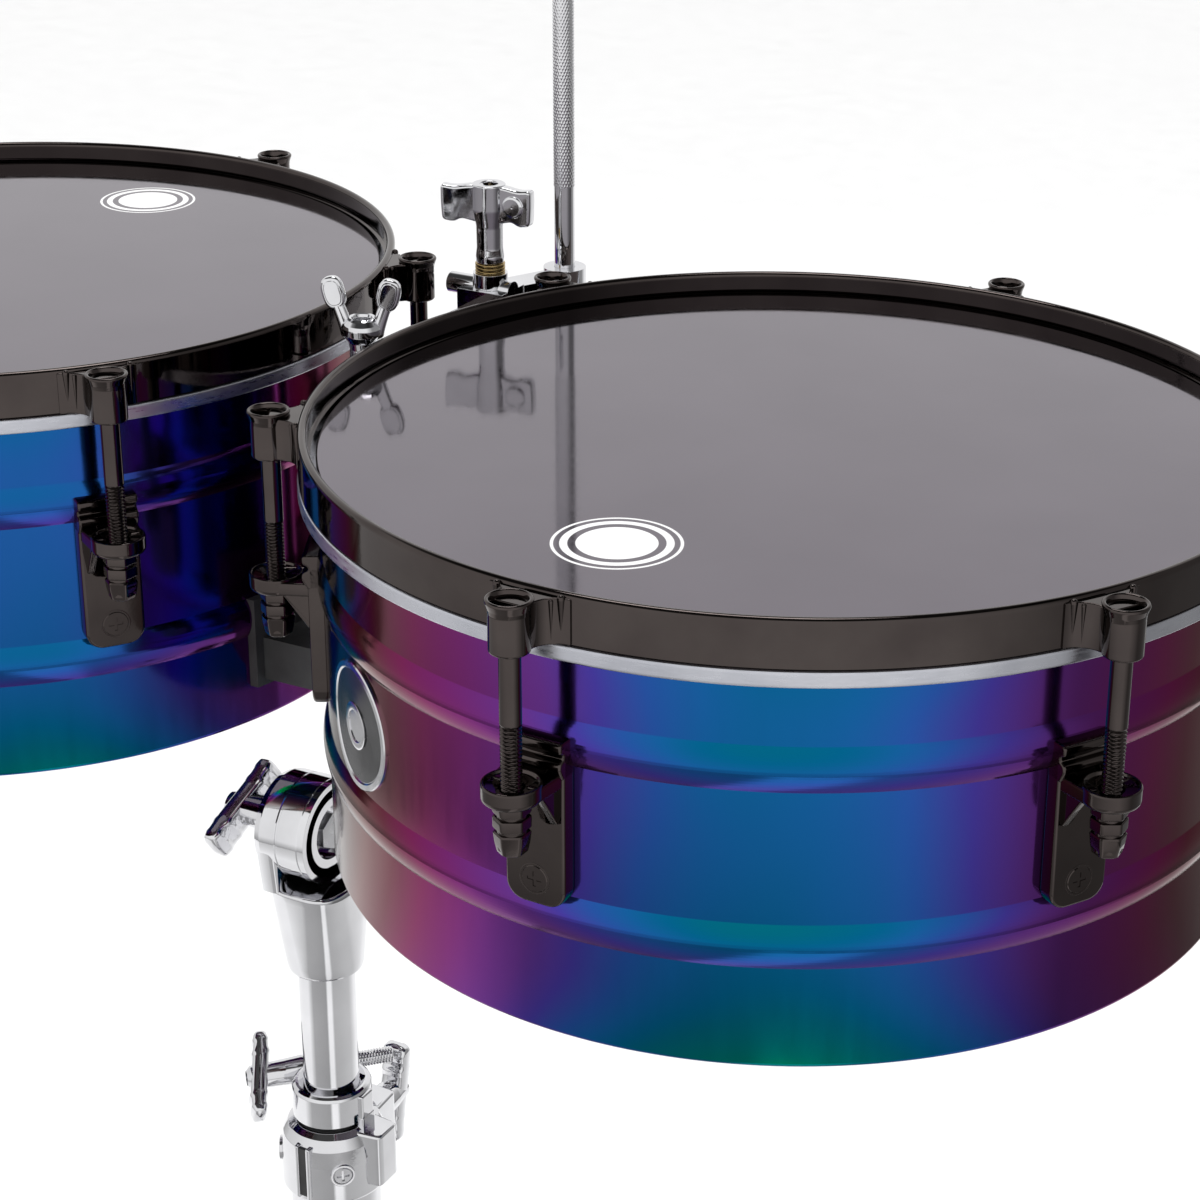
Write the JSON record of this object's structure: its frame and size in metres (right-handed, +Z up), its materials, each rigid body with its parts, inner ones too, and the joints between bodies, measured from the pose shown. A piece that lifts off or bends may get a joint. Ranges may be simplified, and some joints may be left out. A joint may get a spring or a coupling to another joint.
{
  "type": "pair of timbales on a stand",
  "caption": "Pair of shallow steel drums with tuning lugs, hung from a tilting, height-adjustable tripod stand with a cowbell post between them.",
  "frame": {"origin": "on the floor, under the middle of the bounding box; the column stands 9.77 mm to the -X side of it", "axes": "+Z up, the longest extent; +X from the smaller drum to the larger one; +Y from the player through the stand to the cowbell post, the shortest extent"},
  "size_m": [0.8024, 0.6054, 1.052],
  "materials": {
    "shell": "tinted steel, violet to blue to green by angle",
    "head_film": "smoky glossy film",
    "head_ring": "plain satin",
    "badge": "satin, plain",
    "black_block": "matte black",
    "brass": "plain",
    "rubber": "matte",
    "bushing": "matte",
    "zinc": "bright zinc",
    "black_nickel": "black nickel, mirror",
    "chrome": "polished"
  },
  "bodies": {
    "stand": {"height_clamp": "chrome", "clamp_screws": "brass", "tube_bushing": "bushing", "lower_tube": "chrome", "leg_collar": "chrome", "leg_hub": "chrome", "leg_bars": "chrome", "leg_pins": "zinc", "rubber_feet": "rubber"},
    "column": {"upper_tube": "chrome", "memory_lock": "chrome", "lower_tilter": "chrome", "tilter_grub_screw": "zinc"},
    "head": {"upper_tilter": "chrome", "tilter_bolt": "zinc", "flange_screws": "zinc", "centre_block": "black_block", "shell_plates": "black_block", "plate_bolts": "zinc", "centre_stud": "zinc", "stud_spacer": "chrome", "bell_arm": "chrome", "bell_clamp": "chrome", "bell_stud": "brass", "large_shell": "shell", "large_head_film": "head_film", "large_head_ring": "head_ring", "large_hoop": "black_nickel", "large_badge": "badge", "large_lugs": "black_nickel", "large_lug_screws": "black_nickel", "large_rod_nuts": "black_nickel", "large_rod_washers": "brass", "small_shell": "shell", "small_head_film": "head_film", "small_head_ring": "head_ring", "small_hoop": "black_nickel", "small_lugs": "black_nickel", "small_lug_screws": "black_nickel", "small_rod_nuts": "black_nickel", "small_rod_washers": "brass"},
    "tilter_wing": {"tilter_wing": "chrome"},
    "memory_wing_bolt": {"memory_wing_bolt": "chrome"},
    "height_wing_bolt": {"height_wing_bolt": "chrome"},
    "collar_wing_bolt": {"collar_wing_bolt": "chrome"},
    "stud_wing_nut": {"stud_wing_nut": "chrome"},
    "bell_tee_nut": {"bell_tee_nut": "chrome"},
    "bell_post": {"bell_post": "chrome"},
    "large_rod_1": {"large_rod_1": "black_nickel"},
    "large_rod_2": {"large_rod_2": "black_nickel"},
    "large_rod_3": {"large_rod_3": "black_nickel"},
    "large_rod_4": {"large_rod_4": "black_nickel"},
    "large_rod_5": {"large_rod_5": "black_nickel"},
    "large_rod_6": {"large_rod_6": "black_nickel"},
    "small_rod_1": {"small_rod_1": "black_nickel"},
    "small_rod_2": {"small_rod_2": "black_nickel"},
    "small_rod_3": {"small_rod_3": "black_nickel"},
    "small_rod_4": {"small_rod_4": "black_nickel"},
    "small_rod_5": {"small_rod_5": "black_nickel"},
    "small_rod_6": {"small_rod_6": "black_nickel"}
  },
  "joints": [
    {"name": "column_height", "type": "slide", "parent": "stand", "child": "column", "axis": [0, 0, 1], "range_m": [0, 0.18]},
    {"name": "drum_tilt", "type": "hinge", "parent": "column", "child": "head", "pos_m": [-0.00977, 0, 0.627], "axis": [1, 0, 0], "range_deg": [-20, 35]},
    {"name": "tilter_wing_turn", "type": "hinge", "parent": "head", "child": "tilter_wing", "pos_m": [-0.03977, 0, 0.627], "axis": [1, 0, 0], "continuous": true},
    {"name": "memory_wing_turn", "type": "hinge", "parent": "column", "child": "memory_wing_bolt", "pos_m": [-0.04796, -0.00424, 0.4855], "axis": [0.7071, 0.7071, 0], "continuous": true},
    {"name": "height_wing_turn", "type": "hinge", "parent": "stand", "child": "height_wing_bolt", "pos_m": [-0.00977, 0.04, 0.456], "axis": [0, 1, 0], "continuous": true},
    {"name": "collar_wing_turn", "type": "hinge", "parent": "stand", "child": "collar_wing_bolt", "pos_m": [0.01023, -0.03464, 0.318], "axis": [0.5, -0.866, 0], "continuous": true},
    {"name": "stud_wing_turn", "type": "hinge", "parent": "head", "child": "stud_wing_nut", "pos_m": [-0.00477, 0.04, 0.85], "axis": [0, 0, 1], "continuous": true},
    {"name": "bell_tee_turn", "type": "hinge", "parent": "head", "child": "bell_tee_nut", "pos_m": [0.00023, 0.138, 0.85], "axis": [0, 0, 1], "continuous": true},
    {"name": "post_height", "type": "slide", "parent": "head", "child": "bell_post", "axis": [0, 0, 1], "range_m": [-0.036, 0.03]},
    {"name": "large_rod_1_turn", "type": "hinge", "parent": "head", "child": "large_rod_1", "pos_m": [0.19302, -0.1708, 0.8], "axis": [0, 0, 1], "continuous": true},
    {"name": "large_rod_2_turn", "type": "hinge", "parent": "head", "child": "large_rod_2", "pos_m": [0.38018, -0.07337, 0.8], "axis": [0, 0, 1], "continuous": true},
    {"name": "large_rod_3_turn", "type": "hinge", "parent": "head", "child": "large_rod_3", "pos_m": [0.38939, 0.13743, 0.8], "axis": [0, 0, 1], "continuous": true},
    {"name": "large_rod_4_turn", "type": "hinge", "parent": "head", "child": "large_rod_4", "pos_m": [0.21143, 0.2508, 0.8], "axis": [0, 0, 1], "continuous": true},
    {"name": "large_rod_5_turn", "type": "hinge", "parent": "head", "child": "large_rod_5", "pos_m": [0.02427, 0.15337, 0.8], "axis": [0, 0, 1], "continuous": true},
    {"name": "large_rod_6_turn", "type": "hinge", "parent": "head", "child": "large_rod_6", "pos_m": [0.01507, -0.05743, 0.8], "axis": [0, 0, 1], "continuous": true},
    {"name": "small_rod_1_turn", "type": "hinge", "parent": "head", "child": "small_rod_1", "pos_m": [-0.04864, -0.07656, 0.81], "axis": [0, 0, 1], "continuous": true},
    {"name": "small_rod_2_turn", "type": "hinge", "parent": "head", "child": "small_rod_2", "pos_m": [-0.02792, 0.12066, 0.81], "axis": [0, 0, 1], "continuous": true},
    {"name": "small_rod_3_turn", "type": "hinge", "parent": "head", "child": "small_rod_3", "pos_m": [-0.18834, 0.23721, 0.81], "axis": [0, 0, 1], "continuous": true},
    {"name": "small_rod_4_turn", "type": "hinge", "parent": "head", "child": "small_rod_4", "pos_m": [-0.3695, 0.15656, 0.81], "axis": [0, 0, 1], "continuous": true},
    {"name": "small_rod_5_turn", "type": "hinge", "parent": "head", "child": "small_rod_5", "pos_m": [-0.39023, -0.04066, 0.81], "axis": [0, 0, 1], "continuous": true},
    {"name": "small_rod_6_turn", "type": "hinge", "parent": "head", "child": "small_rod_6", "pos_m": [-0.2298, -0.15721, 0.81], "axis": [0, 0, 1], "continuous": true}
  ]
}
